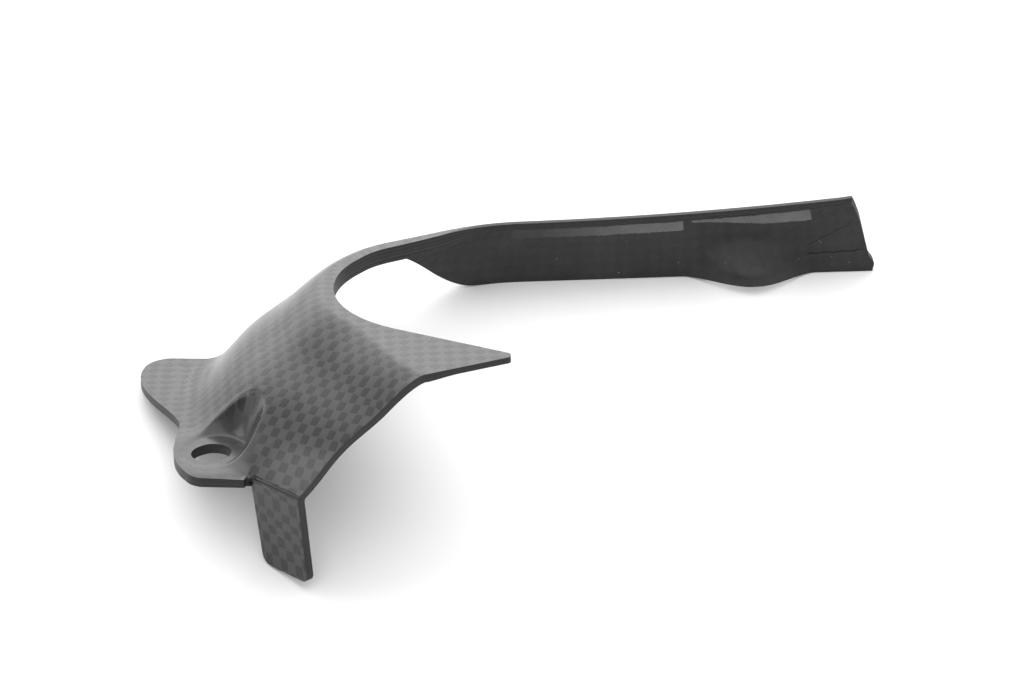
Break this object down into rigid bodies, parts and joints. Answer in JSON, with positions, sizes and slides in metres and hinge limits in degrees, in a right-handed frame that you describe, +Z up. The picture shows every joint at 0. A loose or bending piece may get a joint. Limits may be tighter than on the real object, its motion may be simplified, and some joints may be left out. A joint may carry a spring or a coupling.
{
  "type": "motorcycle sprocket cover",
  "caption": "Thin moulded laminate cover that curves round a motorcycle's front sprocket, with a bolt lug, a wing, a short leg, a pointed finger and a long arm.",
  "frame": {"origin": "centre of the bounding box's base; z = 0 is the surface that the cover lies on", "axes": "+Z up from that surface, +X along the arm, from the wing's end to the arm's end, +Y from the leg's side to the arm's side"},
  "size_m": [0.147, 0.0986, 0.0363],
  "materials": {
    "laminate": "clear-coated woven carbon laminate, plain weave of 2 mm tows, dark cut edges"
  },
  "bodies": {
    "root": {"sprocket_cover": "laminate"}
  },
  "joints": []
}
